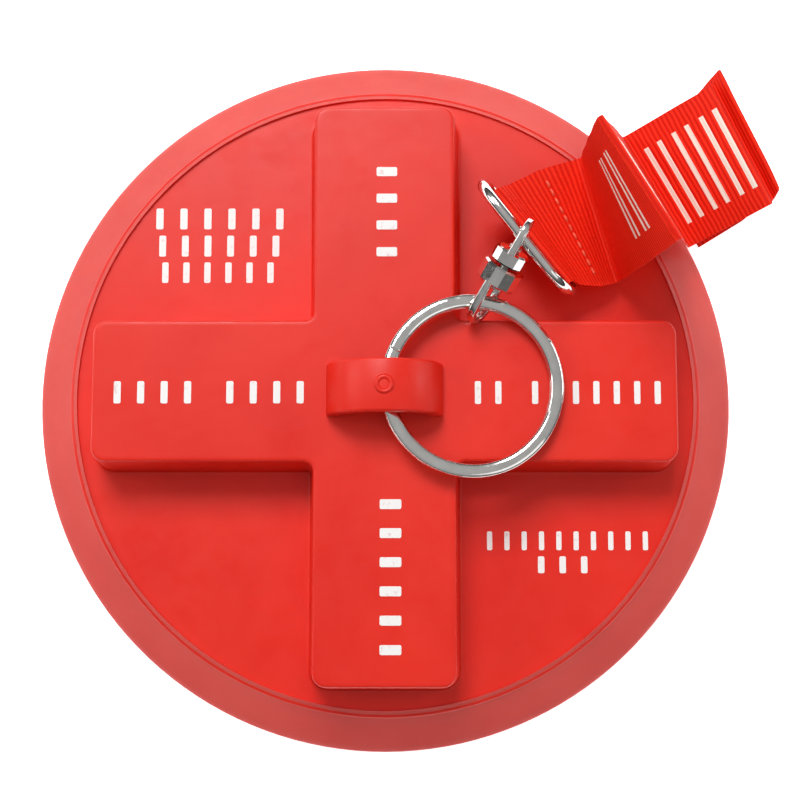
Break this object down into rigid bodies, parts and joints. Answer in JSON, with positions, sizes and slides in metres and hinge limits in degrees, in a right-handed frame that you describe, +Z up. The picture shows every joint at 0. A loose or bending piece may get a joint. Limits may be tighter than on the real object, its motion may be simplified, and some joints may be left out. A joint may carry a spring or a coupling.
{
  "type": "push-on fuel filler cover with streamer",
  "caption": "Round push-on cover with a raised hollow cross, a strap holding a key ring, and a swivel and D-ring carrying a folded warning ribbon.",
  "frame": {"origin": "middle of the roof of the cross-shaped hollow, on the cover's centre line; the sealing plane of the rim is 16.2 mm below", "axes": "+Z up out of the cover, +X along the arm that the key ring lies on, +Y along the next arm round"},
  "size_m": [0.1474, 0.1396, 0.043],
  "materials": {
    "lip": "satin soft vinyl, a little translucent where thin",
    "cover": "satin soft vinyl",
    "plated_wire": "bright nickel plate",
    "plated_casting": "bright nickel plate",
    "rivet_steel": "plain steel",
    "ribbon": "ribbed woven nylon",
    "thread": "polyester thread"
  },
  "bodies": {
    "rim": {"seal_rim": "lip", "flex_skirt": "lip"},
    "cover": {"cap_moulding": "cover"},
    "key_ring": {"split_ring": "plated_wire"},
    "swivel_base": {"swivel_lower_eye": "plated_casting", "swivel_rivet": "rivet_steel"},
    "swivel_head": {"swivel_upper_eye": "plated_casting"},
    "d_ring": {"d_ring": "plated_wire"},
    "tab": {"ribbon_tab": "ribbon", "tab_stitching": "thread"},
    "panel_1": {"ribbon_panel_1": "ribbon"},
    "panel_2": {"ribbon_panel_2": "ribbon"},
    "panel_3": {"ribbon_panel_3": "ribbon", "ribbon_wave": "ribbon"},
    "tail": {"ribbon_tail": "ribbon"}
  },
  "joints": [
    {"name": "push_down", "type": "slide", "parent": "rim", "child": "cover", "axis": [0, 0, -1], "range_m": [0, 0.003], "stiffness_N_per_m": 2000, "springref_m": -0.003, "deforming": ["flex_skirt"]},
    {"name": "ring_lift", "type": "hinge", "parent": "cover", "child": "key_ring", "pos_m": [0.0005, 0.0005, 0.0074], "axis": [0, -1, 0], "range_deg": [0, 100]},
    {"name": "swivel_swing", "type": "hinge", "parent": "key_ring", "child": "swivel_base", "pos_m": [0.01898, 0.01652, 0.00588], "axis": [0.9864, -0.1433, -0.081], "range_deg": [0, 35]},
    {"name": "swivel_turn", "type": "hinge", "parent": "swivel_base", "child": "swivel_head", "pos_m": [0.0168, 0.0129, 0.0045], "axis": [-0.4657, -0.7714, -0.4337], "range_deg": [0, 20]},
    {"name": "d_ring_tilt", "type": "hinge", "parent": "swivel_head", "child": "d_ring", "pos_m": [0.0263, 0.0271, 0.0131], "axis": [0.6157, -0.788, 0], "range_deg": [0, 45]},
    {"name": "tab_turn", "type": "hinge", "parent": "d_ring", "child": "tab", "pos_m": [0.0283, 0.0299, 0.0015], "axis": [0.6157, -0.788, 0], "range_deg": [0, 35]},
    {"name": "lower_crease", "type": "hinge", "parent": "tab", "child": "panel_1", "pos_m": [0.0429, 0.0355, -0.0066], "axis": [0.284, -0.9588, 0], "range_deg": [-27, 0], "stiffness_Nm_per_rad": 0.02, "springref_deg": 5.73},
    {"name": "ridge_crease", "type": "hinge", "parent": "panel_1", "child": "panel_2", "pos_m": [0.045, 0.0343, 0.0302], "axis": [0.5225, -0.8526, 0], "range_deg": [0, 55], "stiffness_Nm_per_rad": 0.02, "springref_deg": -5.73},
    {"name": "outer_crease", "type": "hinge", "parent": "panel_2", "child": "panel_3", "pos_m": [0.0547, 0.0419, -0.0086], "axis": [0.4924, -0.8704, 0], "range_deg": [-45, 0], "stiffness_Nm_per_rad": 0.02, "springref_deg": 5.73},
    {"name": "tail_crease", "type": "hinge", "parent": "panel_3", "child": "tail", "pos_m": [0.0727, 0.0535, 0.002], "axis": [0.4226, -0.9063, 0], "range_deg": [0, 30], "stiffness_Nm_per_rad": 0.02, "springref_deg": -5.73}
  ],
  "couplings": [
    {"joint": "lower_crease", "follows": "ridge_crease", "ratio": -0.485},
    {"joint": "outer_crease", "follows": "ridge_crease", "ratio": -0.81}
  ]
}
